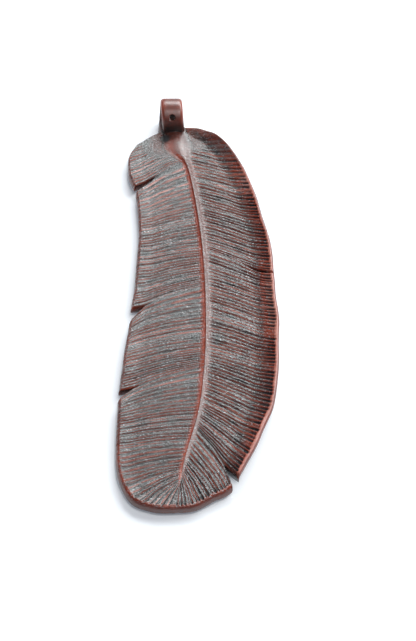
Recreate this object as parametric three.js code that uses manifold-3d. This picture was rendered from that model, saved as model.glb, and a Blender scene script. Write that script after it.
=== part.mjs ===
// A stick-incense holder in the form of a feather: one piece of glazed, fired clay.
// A slab is cut to a feather's outline, its edges are turned up into a shallow ash tray,
// barbs are incised on both vanes, and the quill is rolled up and over into a loop
// that is pierced for the stick. Millimetres, +Z up, the tip towards -Y.
import * as THREE from "three";
import { mergeVertices } from "three/addons/utils/BufferGeometryUtils.js";
import Module from "manifold-3d";

const wasm = await Module();
wasm.setup();

// Driving dimensions of the slab
const SLAB_THICKNESS = 5;
const CHAMFER_BELOW = 1.2; // width of the chamfer along the underside's edge
const RIM_POWER = 1.3; // above 1, so that the wall steepens towards its edge
const TOP_RIM_WIDTH = 9; // the lower rim along the first barb, beside the neck
const TOP_RIM_SHARE = 0.5;
const SHOULDER_START = 0.55; // the rim's height where it starts at the neck, against its full height
const SHOULDER_RUN = 0.05; // share of the edge over which it grows to its full height

// Driving dimensions of the incised barbs
const BARBS = 120;
const GROOVE_DEPTH = 0.75;
const GROOVE_START = 0.05; // share of the edge over which the grooves deepen from the quill
const GROOVE_RUN_OUT = 1.5; // how far from the edge's bevel the grooves run out
const LEAN_REACH = 9; // how far below a split its barbs lean

// How unevenly the barbs are cut by hand, in barbs and millimetres
const SLIP = 0.4;
const DRIFT = 0.5;
const DRIFT_BARBS = 5; // how many barbs drift together
const SWAY = 2;
const FAINT_SHARE = 0.2; // share of the grooves that are only scratched
const FAINT_DEPTH = 0.4;

// Driving dimensions of the shaft and the quill's neck
const SHAFT_HALF_WIDTH = 1.7;
const SHAFT_HEIGHT = 1.5;
const SHAFT_END = 0.925; // share of the centre line where the raised shaft has died away
const SHAFT_TIP_SHARE = 0.4; // the shaft's width at its end, against its width at the neck
const NECK_FROM = 0.06; // shares of the centre line between which the neck narrows to the shaft
const NECK_TO = 0.125;
const NECK_HALF_WIDTH = 6.2;
const NECK_HEIGHT = 2.6;
const NECK_RUN_OUT = 0.035; // share of the centre line where the neck sinks to meet the strap

// Driving dimensions of the rolled loop
const STRAP_WIDTH = 11.4;
const STRAP_THICKNESS = 4.2;
const STRAP_ROUNDING = 1.5;
const STRAP_ROOT_Y = 107; // where the strap starts, inside the slab
const STRAP_ROOT_LIFT = 0.5; // how far inside the slab its underside starts
const LOOP_RADIUS = 9.4;
const LOOP_CENTRE_Y = 119.9;
const LOOP_START = -90; // degrees: -90 is the loop's lowest point, 0 its back, 180 its front
const LOOP_END = 245;
const LOOP_STEPS = 34;
const LOOP_START_X = -16.2;
const LOOP_END_X = -13.2; // the roll drifts sideways, as a rolled strap does
const STICK_HOLE_DIAMETER = 3;
const STICK_HOLE_ANGLE = 146; // degrees round the loop: high on its front
const STICK_HOLE_SIDES = 20;

// The centre line's points, [x, y], from the quill to the tip
const CENTRE_LINE = [
  [-15.4, 120],
  [-9, 97.5],
  [-3, 71.8],
  [2.7, 20.7],
  [4.1, -31.8],
  [1.6, -72.9],
  [-4.6, -102.5],
  [-9.5, -129.2],
];
const TIP = [-9.5, -129.3];

// Guide barbs: share of all the barbs, then the shares of length at which such a barb meets the
// left edge, the centre line on the left, the centre line on the right, and the right edge
const GUIDE_BARBS = [
  [0, 0, 0.023, 0.023, 0],
  [0.085, 0.095, 0.125, 0.11, 0.138],
  [0.18, 0.22, 0.244, 0.224, 0.261],
  [0.34, 0.366, 0.409, 0.388, 0.42],
  [0.61, 0.631, 0.666, 0.657, 0.664],
  [0.75, 0.745, 0.786, 0.774, 0.793],
  [0.848, 0.815, 0.86, 0.836, 0.888],
  [0.903, 0.88, 0.911, 0.9, 0.927],
  [1, 0.985, 1, 1, 0.985],
];

// Each vane: the columns of its edge and its roots in the guide barbs, its barbs' bow as a share of
// their length, the range of its grooves' depths, its edge's bevel [width, height], how far its floor
// dishes up and its rim thins, its edge's points, the [height, width] of its turned-up rim at the
// shoulder, along the side and round the tip, and its splits. A split opens at a share of the edge's
// length, its lips part by the upper and lower shares, it is depth millimetres deep, and the barbs
// beside it lean by lean millimetres.
const LEFT = {
  side: -1,
  edgeColumn: 1,
  rootColumn: 2,
  bow: 0.045,
  depths: [0.45, 0.9],
  bevel: [2, 3],
  dish: 0,
  thinning: 0,
  edge: splineThrough([
    [-33, 100.6],
    [-36.7, 90.5],
    [-36, 77],
    [-32.6, 64],
    [-29.7, 37],
    [-30.1, 5],
    [-31, -20],
    [-33.9, -55],
    [-34.9, -88],
    [-33.4, -109],
    [-28, -123.5],
    [-19, -128.7],
    TIP,
  ]),
  rim: { shoulder: [2.6, 10], side: [2.3, 8], tip: [1.2, 6], tipFrom: 0.8 },
  splits: [
    { at: 0.148, upper: 0.005, lower: 0.014, depth: 13.5, lean: 12 },
    { at: 0.49, upper: 0.005, lower: 0.033, depth: 9, lean: 10 },
    { at: 0.691, upper: 0.004, lower: 0.018, depth: 8, lean: 10 },
  ],
};
const RIGHT = {
  side: 1,
  edgeColumn: 4,
  rootColumn: 3,
  bow: 0.02,
  depths: [0.65, 1.1],
  bevel: [1.3, 1.6],
  dish: 0.7,
  thinning: 1.2,
  edge: splineThrough([
    [0.5, 112],
    [10.3, 103.5],
    [21, 84.6],
    [29.2, 54.5],
    [34.9, 23],
    [35.3, 3],
    [36.8, -28],
    [35.6, -58],
    [31.5, -82],
    [17.3, -115],
    [6.5, -123.6],
    [-1.5, -128.2],
    TIP,
  ]),
  rim: { shoulder: [5.4, 15], side: [5, 11], tip: [1.5, 6], tipFrom: 0.889 },
  splits: [
    { at: 0.435, upper: 0.004, lower: 0.008, depth: 14.2, lean: 3 },
    { at: 0.889, upper: 0.005, lower: 0.01, depth: 12, lean: 2 },
  ],
};
const SHOULDER_END = 0.22; // share of the edge where the shoulder's rim has become the side's
const TIP_FADE = 0.03; // share of the edge over which the side's rim becomes the tip's

const { lerp, smoothstep, degToRad } = THREE.MathUtils;
const centreLine = splineThrough(CENTRE_LINE);

function splineThrough(points) {
  return new THREE.SplineCurve(points.map(([x, y]) => new THREE.Vector2(x, y)));
}

function clamp01(value) {
  return THREE.MathUtils.clamp(value, 0, 1);
}

// A closed solid of a geometry, with its shared vertices merged.
function solidOf(geometry) {
  geometry.deleteAttribute("normal");
  geometry.deleteAttribute("uv");
  const merged = mergeVertices(geometry, 1e-4);
  return new wasm.Manifold(
    new wasm.Mesh({
      numProp: 3,
      vertProperties: new Float32Array(merged.attributes.position.array),
      triVerts: new Uint32Array(merged.index.array),
    }),
  );
}

// A box of columns by rows cells, each of whose corners goes where place(column, row, onTop) says.
// Columns count towards +X and rows towards -Y.
function bentBox(columns, rows, place) {
  const box = new THREE.BoxGeometry(1, 1, 1, columns, rows, 1);
  const corners = box.attributes.position;
  for (let i = 0; i < corners.count; i++) {
    const column = Math.round((corners.getX(i) + 0.5) * columns);
    const row = Math.round((0.5 - corners.getY(i)) * rows);
    const { x, y, z } = place(column, row, corners.getZ(i) > 0);
    corners.setXYZ(i, x, y, z);
  }
  return solidOf(box);
}

// The value at x on a broken line through [x, value] pairs.
function alongPairs(pairs, x) {
  const next = Math.max(
    1,
    pairs.findIndex(([end]) => end >= x),
  );
  const [x0, value0] = pairs[next - 1];
  const [x1, value1] = pairs[next];
  return lerp(value0, value1, clamp01((x - x0) / (x1 - x0)));
}

// A repeatable chance, from 0 to 1, for a whole number and what it is drawn for.
function chance(number, purpose) {
  const wave = 43758.5453 * Math.sin(12.9898 * number + 78.233 * purpose);
  return wave - Math.floor(wave);
}
const PURPOSE = { end: 1, root: 2, sway: 3, depth: 4, faint: 5 };

// How many barbs a groove strays: a slip of its own, and a drift that it shares with its neighbours.
function grooveStray(groove, purpose) {
  if (groove <= 0 || groove >= BARBS) {
    return 0;
  }
  const spell = Math.floor(groove / DRIFT_BARBS);
  const [before, after] = [spell, spell + 1].map((number) => chance(number, purpose + 0.5));
  const drift = lerp(before, after, groove / DRIFT_BARBS - spell);
  return SLIP * (chance(groove, purpose) - 0.5) + DRIFT * (drift - 0.5);
}

// The stray at a count of barbs, between those of the two nearest grooves.
function stray(vane, count, purpose) {
  const groove = Math.floor(count);
  const drawnFor = vane.side * purpose;
  return lerp(grooveStray(groove, drawnFor), grooveStray(groove + 1, drawnFor), count - groove);
}

// The depth of a groove, as its hand-cut share of the full depth.
function grooveShare(vane, groove) {
  const faint = chance(groove, vane.side * PURPOSE.faint) < FAINT_SHARE ? FAINT_DEPTH : 1;
  return faint * lerp(...vane.depths, chance(groove, vane.side * PURPOSE.depth));
}

// The value in one column of the guide barbs where another column has a given value.
function guided(from, to, value) {
  return alongPairs(GUIDE_BARBS.map((barb) => [barb[from], barb[to]]), value);
}

// Half width and height of the raised shaft at a place on the centre line.
function shaftSection(place) {
  const along = clamp01(place / SHAFT_END);
  const neck = 1 - smoothstep(place, NECK_FROM, NECK_TO);
  const halfWidth = lerp(SHAFT_HALF_WIDTH * lerp(1, SHAFT_TIP_SHARE, along), NECK_HALF_WIDTH, neck);
  const height = lerp(SHAFT_HEIGHT * Math.sqrt(1 - along), NECK_HEIGHT, neck);
  return { halfWidth, height: height * smoothstep(place, NECK_RUN_OUT / 2, NECK_RUN_OUT) };
}

// A point beside the centre line, offset half widths towards +X.
function besideCentre(place, offset) {
  const tangent = centreLine.getTangentAt(place);
  const acrossToRight = new THREE.Vector2(-tangent.y, tangent.x);
  const distance = offset * shaftSection(place).halfWidth;
  return centreLine.getPointAt(place).addScaledVector(acrossToRight, distance);
}

// How far the barb that ends at place is pushed along the edge by the vane's splits, where its
// point is inset millimetres from the edge: up to a lip, or down past it, fading over a few barbs.
function splitShift(vane, place, inset) {
  let shift = 0;
  for (const { at, upper, lower, depth } of vane.splits) {
    const open = clamp01(1 - inset / depth);
    const [lip, away] = place < at ? [-upper, at - place] : [lower, place - at];
    shift += lip * open * Math.exp(-away / (2 * Math.abs(lip)));
  }
  return shift;
}

// The place on the centre line where the barb at a share of all the barbs is rooted. Beside a split
// the roots stay behind, towards the quill.
function rootPlace(vane, share) {
  const edgePlace = guided(0, vane.edgeColumn, share);
  let place = guided(0, vane.rootColumn, share);
  for (const { at, lean } of vane.splits) {
    const past = (edgePlace - at) * vane.edge.getLength();
    const reach = past > 0 ? LEAN_REACH : 1.6 * lean;
    place -= (lean / centreLine.getLength()) * Math.exp(-Math.abs(past) / reach);
  }
  return place;
}

// The plan of a barb between its places on the vane's edge and on the centre line: its length, and
// its point at a share of that length. Its middle bows, and sways aside by sway millimetres.
function barbPlan(vane, place, rootedAt, sway = 0) {
  const root = besideCentre(rootedAt, vane.side);
  const length = root.distanceTo(vane.edge.getPointAt(place));
  const pointAt = (share) => {
    const shift = splitShift(vane, place, (1 - share) * length);
    const along = vane.edge.getPointAt(clamp01(place + shift)).sub(root);
    const towardsQuill = new THREE.Vector2(-along.y, along.x).multiplyScalar(vane.side);
    const aside = vane.bow * 4 * share * (1 - share) + (sway / length) * share * Math.sin(Math.PI * share);
    return root.clone().addScaledVector(along, share).addScaledVector(towardsQuill, aside);
  };
  return { length, pointAt };
}

// Height and width of the turned-up rim at a place on the vane's edge.
function rimAt({ rim }, place) {
  const toSide = clamp01(place / SHOULDER_END);
  const toTip = smoothstep(place, rim.tipFrom - TIP_FADE / 2, rim.tipFrom + TIP_FADE / 2);
  const [height, width] = rim.side.map((value, i) => {
    return lerp(lerp(rim.shoulder[i], value, toSide), rim.tip[i], toTip);
  });
  return [height * lerp(SHOULDER_START, 1, smoothstep(place, 0, SHOULDER_RUN)), width];
}

// How far the rim lifts the slab and dishes its floor, and how far it thins it from below, at a share
// of a barb's length that is inset millimetres from the edge.
function rimLift(vane, place, inset, share) {
  const [height, width] = rimAt(vane, place);
  const sideRise = Math.max(0, 1 - inset / width) ** RIM_POWER;
  const fromTop = place * vane.edge.getLength();
  const topRise = TOP_RIM_SHARE * share * clamp01(1 - fromTop / TOP_RIM_WIDTH) ** RIM_POWER;
  const rise = height * Math.max(sideRise, topRise);
  const dished = vane.dish * share * clamp01(1 - sideRise);
  const thinned = vane.thinning * sideRise;
  return { above: rise + dished, below: rise + thinned };
}

// Distances from the edge of a vane's columns: the edge, its bevel's crest, the grooves' ends, the
// foot of the rim's wall, and the open vane. The shaft's foot is next.
function vaneInsets(length, bevelWidth, rimWidth) {
  const foot = Math.min(rimWidth, 0.6 * length);
  const crest = Math.min(bevelWidth, 0.3 * foot);
  const grooveEnd = Math.min(bevelWidth + GROOVE_RUN_OUT, 0.6 * foot);
  return [0, crest, grooveEnd, foot, (foot + length) / 2];
}
const VANE_COLUMNS = 5;
const GROOVE_END_COLUMN = 2;

// The shaft's section, from its left foot to its right one: shares of half its width, and of its height
const SHAFT_ACROSS = [-1, -0.55, 0.55, 1];
const SHAFT_CROWN = [0, 0.86, 0.86, 0];

// The face of the feather, on a block that goes down below the slab. Its rows are the grooves and
// crests of the barbs, and its columns run from the left edge over the shaft to the right edge.
function facedBlock() {
  const BLOCK_BOTTOM = -20;
  const rows = 2 * BARBS;
  const columns = 2 * VANE_COLUMNS + SHAFT_ACROSS.length - 1;
  return bentBox(columns, rows, (column, row, onTop) => {
    const count = row / 2;
    const atEnd = row === 0 || row === rows;
    const shareFor = (vane, purpose) => clamp01((count + stray(vane, count, purpose)) / BARBS);

    const shaftColumn = column - VANE_COLUMNS;
    if (shaftColumn >= 0 && shaftColumn < SHAFT_ACROSS.length) {
      const across = SHAFT_ACROSS[shaftColumn];
      const roots = [LEFT, RIGHT].map((vane) => rootPlace(vane, shareFor(vane, PURPOSE.root)));
      const place = lerp(...roots, (across + 1) / 2);
      const { x, y } = besideCentre(place, across);
      const crown = shaftSection(place).height * SHAFT_CROWN[shaftColumn];
      const bevel = atEnd ? lerp(LEFT.bevel[1], RIGHT.bevel[1], (across + 1) / 2) : 0;
      return { x, y, z: onTop ? SLAB_THICKNESS + crown - bevel : BLOCK_BOTTOM };
    }

    const vane = shaftColumn < 0 ? LEFT : RIGHT;
    const fromEdge = shaftColumn < 0 ? column : columns - column;
    const place = guided(0, vane.edgeColumn, shareFor(vane, PURPOSE.end));
    const sway = SWAY * stray(vane, count, PURPOSE.sway);
    const plan = barbPlan(vane, place, rootPlace(vane, shareFor(vane, PURPOSE.root)), sway);
    const inset = vaneInsets(plan.length, vane.bevel[0], rimAt(vane, place)[1])[fromEdge];
    const share = 1 - inset / plan.length;
    const { x, y } = plan.pointAt(share);
    if (!onTop) {
      return { x, y, z: BLOCK_BOTTOM };
    }

    const bevel = fromEdge === 0 || atEnd ? vane.bevel[1] : 0;
    const isGroove = row % 2 === 0 && fromEdge >= GROOVE_END_COLUMN;
    const cut = isGroove ? GROOVE_DEPTH * grooveShare(vane, count) * clamp01(place / GROOVE_START) : 0;
    return { x, y, z: SLAB_THICKNESS + rimLift(vane, place, inset, share).above - bevel - cut };
  });
}

// A block with the slab's smooth underside, which reaches out past the slab on all sides. Under the
// edge it slopes on outwards, so that the slab's lower edge is chamfered.
function undersideBlock() {
  const BLOCK_TOP = 40;
  const BEYOND = 5;
  const ROWS = 25;
  const halfColumns = 4;
  return bentBox(2 * halfColumns, ROWS, (column, row, onTop) => {
    const vane = column < halfColumns ? LEFT : RIGHT;
    const fromEdge = column < halfColumns ? column : 2 * halfColumns - column;
    const past = row === 0 ? BEYOND : row === ROWS ? -BEYOND : 0;
    const rootedAt = rootPlace(vane, row / ROWS);
    if (fromEdge === halfColumns) {
      const { x, y } = besideCentre(rootedAt, 0);
      return { x, y: y + past, z: onTop ? BLOCK_TOP : 0 };
    }

    const place = guided(0, vane.edgeColumn, row / ROWS);
    const plan = barbPlan(vane, place, rootedAt);
    const foot = Math.min(rimAt(vane, place)[1], 0.6 * plan.length);
    const inset = [-BEYOND, CHAMFER_BELOW, foot / 2, foot][fromEdge];
    const { x, y } = plan.pointAt(1 - inset / plan.length);
    const heightAt = (distance) => rimLift(vane, place, distance, 1 - distance / plan.length).below;
    const outwardSlope = 0.5 + (heightAt(0) - heightAt(CHAMFER_BELOW)) / CHAMFER_BELOW;
    const z = heightAt(Math.max(inset, CHAMFER_BELOW)) + outwardSlope * Math.max(0, CHAMFER_BELOW - inset);
    return { x, y: y + past, z: onTop ? BLOCK_TOP : z };
  });
}

// The wedge of clay that is missing at a split, from its inner end out past the edge.
function splitWedge(vane, { at, depth }) {
  const BESIDE = 1e-6; // the lips are just above and just below the split's place
  const LIP_STEPS = 4;
  const BEYOND = 2;
  const [upper, lower] = [at - BESIDE, at + BESIDE].map((place) => {
    const { length, pointAt } = barbPlan(vane, place, rootPlace(vane, guided(vane.edgeColumn, 0, place)));
    const inset = (step) => lerp(depth, -BEYOND, step / LIP_STEPS);
    return Array.from({ length: LIP_STEPS + 1 }, (_, step) => pointAt(1 - inset(step) / length));
  });
  const outline = new THREE.Shape([...upper, ...lower.slice(1).reverse()]);
  const wedge = new THREE.ExtrudeGeometry(outline, { depth: 4 * SLAB_THICKNESS, bevelEnabled: false });
  return solidOf(wedge.translate(0, 0, -SLAB_THICKNESS));
}

// A point of the loop at a radius and an angle about its axis, on the strap's middle line.
function loopPoint(radius, degrees) {
  const angle = degToRad(degrees);
  const along = (degrees - LOOP_START) / (LOOP_END - LOOP_START);
  return {
    x: lerp(LOOP_START_X, LOOP_END_X, along),
    y: LOOP_CENTRE_Y + radius * Math.cos(angle),
    z: LOOP_RADIUS + radius * Math.sin(angle),
  };
}

// The quill's strap: straight out of the slab, then rolled up and over until its end sinks into
// the neck. Its first row is the rolled end, because rows count towards the tip.
function strapSolid() {
  const half = STRAP_WIDTH / 2;
  const across = [-half, STRAP_ROUNDING - half, half - STRAP_ROUNDING, half];
  const rows = LOOP_STEPS + 1;
  return bentBox(across.length - 1, rows, (column, row, onTop) => {
    const rounded = Math.abs(across[column]) === half ? STRAP_ROUNDING : 0;
    const onOutside = !onTop;
    if (row === rows) {
      const z = onOutside ? STRAP_ROOT_LIFT + rounded : STRAP_THICKNESS - rounded;
      return { x: LOOP_START_X + across[column], y: STRAP_ROOT_Y, z };
    }
    const degrees = lerp(LOOP_END, LOOP_START, row / LOOP_STEPS);
    const radius = onOutside ? LOOP_RADIUS - rounded : LOOP_RADIUS - STRAP_THICKNESS + rounded;
    const { x, y, z } = loopPoint(radius, degrees);
    return { x: x + across[column], y, z };
  });
}

// The drill that pierces the loop's front for the stick, along the loop's own radius.
function stickHole() {
  const radius = STICK_HOLE_DIAMETER / 2;
  const drill = new THREE.CylinderGeometry(radius, radius, 2 * STRAP_THICKNESS, STICK_HOLE_SIDES);
  drill.rotateX(degToRad(STICK_HOLE_ANGLE));
  const { x, y, z } = loopPoint(LOOP_RADIUS - STRAP_THICKNESS / 2, STICK_HOLE_ANGLE);
  return solidOf(drill.translate(x, y, z));
}

// A solid's surface as a geometry with flat faces.
function geometryOf(solid) {
  const { vertProperties, triVerts } = solid.getMesh();
  const geometry = new THREE.BufferGeometry();
  geometry.setAttribute("position", new THREE.BufferAttribute(vertProperties, 3));
  geometry.setIndex(new THREE.BufferAttribute(triVerts, 1));
  const faceted = geometry.toNonIndexed();
  faceted.computeVertexNormals();
  return faceted;
}

let clay = facedBlock().intersect(undersideBlock());
for (const vane of [LEFT, RIGHT]) {
  for (const split of vane.splits) {
    clay = clay.subtract(splitWedge(vane, split));
  }
}
clay = clay.add(strapSolid().subtract(stickHole()));

const glaze = new THREE.MeshStandardMaterial({ color: 0x6b3a2e, roughness: 0.4, metalness: 0 });
const feather = new THREE.Mesh(geometryOf(clay), glaze);
feather.name = "feather";

const holder = new THREE.Group();
holder.add(feather);
export default holder;
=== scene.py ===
# %% [markdown]
# # A feather of glazed clay
# This lesson dresses one fired clay piece: a stick-incense holder cut and incised as a feather.
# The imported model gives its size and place. Here we make the surface that a potter would leave: 120
# incised barbs on each vane, split edges, a raised shaft, a rolled loop and a dark iron glaze that
# breaks to red-brown wherever it runs thin.

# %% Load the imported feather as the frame
import math

import bmesh
import bpy
from mathutils import Matrix, Vector, noise
from mathutils.bvhtree import BVHTree


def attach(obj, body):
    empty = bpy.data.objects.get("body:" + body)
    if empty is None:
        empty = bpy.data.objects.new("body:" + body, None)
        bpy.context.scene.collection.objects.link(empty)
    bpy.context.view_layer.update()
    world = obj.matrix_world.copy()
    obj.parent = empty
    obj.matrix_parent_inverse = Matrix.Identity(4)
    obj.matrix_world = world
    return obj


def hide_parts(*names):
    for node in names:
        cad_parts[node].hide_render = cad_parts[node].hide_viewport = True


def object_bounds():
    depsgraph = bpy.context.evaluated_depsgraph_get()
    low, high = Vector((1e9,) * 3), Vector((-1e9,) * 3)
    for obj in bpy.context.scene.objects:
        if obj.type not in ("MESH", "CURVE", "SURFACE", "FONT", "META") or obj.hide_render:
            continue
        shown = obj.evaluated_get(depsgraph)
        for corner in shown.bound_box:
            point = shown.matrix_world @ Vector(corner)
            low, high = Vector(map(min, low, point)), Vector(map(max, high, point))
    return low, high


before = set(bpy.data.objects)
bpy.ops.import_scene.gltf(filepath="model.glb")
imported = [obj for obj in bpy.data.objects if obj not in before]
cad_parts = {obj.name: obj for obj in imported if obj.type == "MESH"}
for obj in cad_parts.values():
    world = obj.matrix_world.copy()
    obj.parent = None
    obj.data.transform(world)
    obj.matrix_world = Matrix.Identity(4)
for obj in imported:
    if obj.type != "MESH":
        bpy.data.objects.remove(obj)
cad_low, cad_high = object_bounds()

MM = 0.001
size_mm = [round(side / MM, 1) for side in cad_high - cad_low]
print("frame: nodes", sorted(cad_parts), "size in mm", size_mm)

# %% [markdown]
# ## The plan: three lines and a few guide barbs
# A feather is drawn from its shaft outwards. Two edge lines and one centre line are enough to hold
# its outline, and a handful of guide barbs say which point of the shaft each point of an edge hangs
# on. Everything between them is worked out, so the lines stay short lists that a person can read.
# A smooth line through the points is a Catmull-Rom spline, walked by its length.


# %% A smooth line that is walked by its length
def mix(a, b, share):
    return a + (b - a) * share


def clamp01(value):
    return max(0.0, min(1.0, value))


def smooth_step(value, low, high):
    x = clamp01((value - low) / (high - low))
    return x * x * (3 - 2 * x)


class SmoothLine:
    """A spline through plan points, in millimetres, read at a share of its length."""

    STEPS_PER_SPAN = 60
    LOOK_AHEAD = 0.002

    def __init__(self, points):
        knots = [Vector(p) for p in points]
        last = len(knots) - 1
        self.points = [knots[0]]
        self.lengths = [0.0]
        for i in range(last):
            before, start = knots[max(i - 1, 0)], knots[i]
            end, after = knots[i + 1], knots[min(i + 2, last)]
            leave, arrive = (end - before) / 2, (after - start) / 2
            for step in range(1, self.STEPS_PER_SPAN + 1):
                t = step / self.STEPS_PER_SPAN
                bend = (2 * start - 2 * end + leave + arrive) * t**3
                swing = (3 * end - 3 * start - 2 * leave - arrive) * t**2
                point = bend + swing + leave * t + start
                self.lengths.append(self.lengths[-1] + (point - self.points[-1]).length)
                self.points.append(point)
        self.length = self.lengths[-1]

    def at(self, share):
        goal = clamp01(share) * self.length
        low, high = 0, len(self.lengths) - 1
        while high - low > 1:
            middle = (low + high) // 2
            if self.lengths[middle] <= goal:
                low = middle
            else:
                high = middle
        span = self.lengths[high] - self.lengths[low]
        return self.points[low].lerp(self.points[high], (goal - self.lengths[low]) / span)

    def to_the_right(self, share):
        ahead = self.at(share + self.LOOK_AHEAD) - self.at(share - self.LOOK_AHEAD)
        return Vector((-ahead.y, ahead.x)).normalized()


# %% The feather's lines, from the quill to the tip
TIP = (-9.5, -129.3)
centre_line = SmoothLine([
    (-15.4, 120), (-9, 97.5), (-3, 71.8), (2.7, 20.7),
    (4.1, -31.8), (1.6, -72.9), (-4.6, -102.5), (-9.5, -129.2),
])
left_edge = SmoothLine([
    (-33, 100.6), (-36.7, 90.5), (-36, 77), (-32.6, 64), (-29.7, 37), (-30.1, 5), (-31, -20),
    (-33.9, -55), (-34.9, -88), (-33.4, -109), (-28, -123.5), (-19, -128.7), TIP,
])
right_edge = SmoothLine([
    (0.5, 112), (10.3, 103.5), (21, 84.6), (29.2, 54.5), (34.9, 23), (35.3, 3), (36.8, -28),
    (35.6, -58), (31.5, -82), (17.3, -115), (6.5, -123.6), (-1.5, -128.2), TIP,
])

# Guide barbs: share of the rows, left edge, left root, right root and right edge. The last ones fan
# out from just beyond the end of the shaft.
SHAFT_END = 0.925
FAN_ROOT = 0.955
GUIDE_BARBS = [
    (0.000, 0.000, 0.023, 0.023, 0.000),
    (0.085, 0.095, 0.125, 0.110, 0.138),
    (0.180, 0.220, 0.244, 0.224, 0.261),
    (0.340, 0.366, 0.409, 0.388, 0.420),
    (0.610, 0.631, 0.666, 0.657, 0.664),
    (0.750, 0.745, 0.786, 0.774, 0.793),
    (0.848, 0.815, 0.860, 0.836, 0.888),
    (0.903, 0.880, 0.911, 0.900, 0.927),
    (1.000, 1.000, FAN_ROOT, FAN_ROOT, 1.000),
]
LEFT_EDGE, LEFT_ROOT, RIGHT_ROOT, RIGHT_EDGE = 1, 2, 3, 4
print("edges in mm:", round(left_edge.length, 1), round(right_edge.length, 1))

# %% [markdown]
# ## Irregular hands
# A potter cuts the barbs one by one with a wire tool, so no two are spaced, bowed or cut alike. Pure
# noise would blur them; instead each groove gets its own few values: how far its ends stray, how deep
# it is, and how far short of the edge it stops. They come from a repeatable chance, a fraction of a
# very steep sine, so that the same groove is drawn in the same way every time. The lip on each groove's
# quill side is where the glaze will run thin. On the right wall the tool scraped wider and deeper.

# %% Hand-made values for every groove
BARBS = 120
GROOVE_DEPTH = 0.75
SLIP = 0.4  # how many barbs a groove strays by itself
DRIFT = 0.5  # how many barbs it strays with its neighbours
DRIFT_BARBS = 5  # how many barbs drift together
SWAY = 2.0
FAINT_SHARE = 0.2  # share of the grooves that are only scratched
FAINT_DEPTH = 0.4
LAST_BARBS = 3  # how many barbs before the tip lose their strays

# One barb, row by row: phase from its groove, depth and darkness of the cut on the open vane, the
# same where it is scraped wider on a wall, and how bare its lip is.
BARB_PROFILE = [
    (0, (1, 1), (1, 1), 0.05),
    (0.15, (0.3, 0.85), (1, 1), 0),
    (0.33, (0, 0.15), (0.6, 0.9), 0),
    (0.51, (0, 0), (0.05, 0.1), 0),
    (0.68, (0.04, 0), (0, 0), 0.15),
    (0.85, (0.35, 0.1), (0.5, 0.5), 0.9),
]
ROWS = BARBS * len(BARB_PROFILE)
FOR_END, FOR_ROOT, FOR_SWAY, FOR_DEPTH, FOR_FAINT, FOR_STOP, FOR_LIP = range(1, 8)


def chance(number, purpose):
    """A repeatable chance, from 0 to 1, for a whole number and what it is drawn for."""
    wave = 43758.5453 * math.sin(12.9898 * number + 78.233 * purpose)
    return wave - math.floor(wave)


def ripple(*place):
    """Smooth noise from about -1 to 1: the larger the numbers beside a place, the shorter its waves."""
    return noise.noise(Vector(place))


def groove_stray(groove, purpose):
    """How many barbs a groove strays: a slip of its own, and a drift shared with its neighbours."""
    if groove <= 0 or groove >= BARBS:
        return 0.0
    spell, part = divmod(groove / DRIFT_BARBS, 1)
    drift = mix(chance(spell, purpose + 0.5), chance(spell + 1, purpose + 0.5), part)
    return SLIP * (chance(groove, purpose) - 0.5) + DRIFT * (drift - 0.5)


def stray(side, count, purpose):
    """The stray at a count of barbs, between those of the two nearest grooves."""
    groove = math.floor(count)
    here, ahead = (groove_stray(number, side * purpose) for number in (groove, groove + 1))
    return mix(here, ahead, count - groove)


def count_at(row):
    """How many barbs lie before a row."""
    groove, step = divmod(row, len(BARB_PROFILE))
    return groove + BARB_PROFILE[step][0]


def settled(row):
    """1 on all rows but the last ones, where it fades to 0 so that both vanes meet in one seam."""
    return clamp01((BARBS - count_at(row)) / LAST_BARBS)


def broken_line(pairs, x):
    for (x0, y0), (x1, y1) in zip(pairs, pairs[1:]):
        if x <= x1:
            return mix(y0, y1, clamp01((x - x0) / (x1 - x0)))
    return pairs[-1][1]


def guided(line, share):
    """Where the row at a share of all rows meets one of the guided lines."""
    return broken_line([(barb[0], barb[line]) for barb in GUIDE_BARBS], share)


print("barbs on each vane:", BARBS, "in", ROWS, "rows")

# %% [markdown]
# ## Vanes, rims and splits
# Each vane is a thin dish: flat by the shaft, turned up at its edge. The right edge stands about 5 mm
# higher than the floor and the left one about half of that, and both are lower and alike round the
# tip, where they meet. Where a real feather's barbs have parted the potter cut a split: its upper lip
# moves a little towards the quill, and its lower lip further towards the tip. The roots of the barbs
# beside a split are moved as well, so that these barbs lean.

# %% What each vane looks like
EDGE_WAVER = 0.6
EDGE_WAVES = 19
EDGE_CALM = 0.05  # share of the edge at each end that doesn't waver
SHOULDER_START = 0.55  # the rim's height where it starts at the neck, against its full height
SHOULDER_RUN = 0.05  # share of the edge over which it grows to its full height
SHOULDER_END = 0.22
TIP_BEVEL = (2.0, 3.0)
LEAN_REACH = 9.0  # how far beyond a split its barbs lean
LEAN_BEFORE = 1.6  # how far before it, against its lean


class Split:
    """A parting of the barbs: its lips part by two shares of the edge, and may meet again at its mouth."""

    def __init__(self, at, upper, lower, depth, lean, mouth=1.0):
        self.at, self.upper, self.lower, self.depth, self.lean = at, upper, lower, depth, lean
        self.mouth = mouth
        self.row = self.column = None

    def opened(self, inset):
        towards_mouth = mix(self.mouth, 1, smooth_step(inset, 0, self.depth / 2))
        return clamp01(1 - inset / self.depth) * towards_mouth


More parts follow.
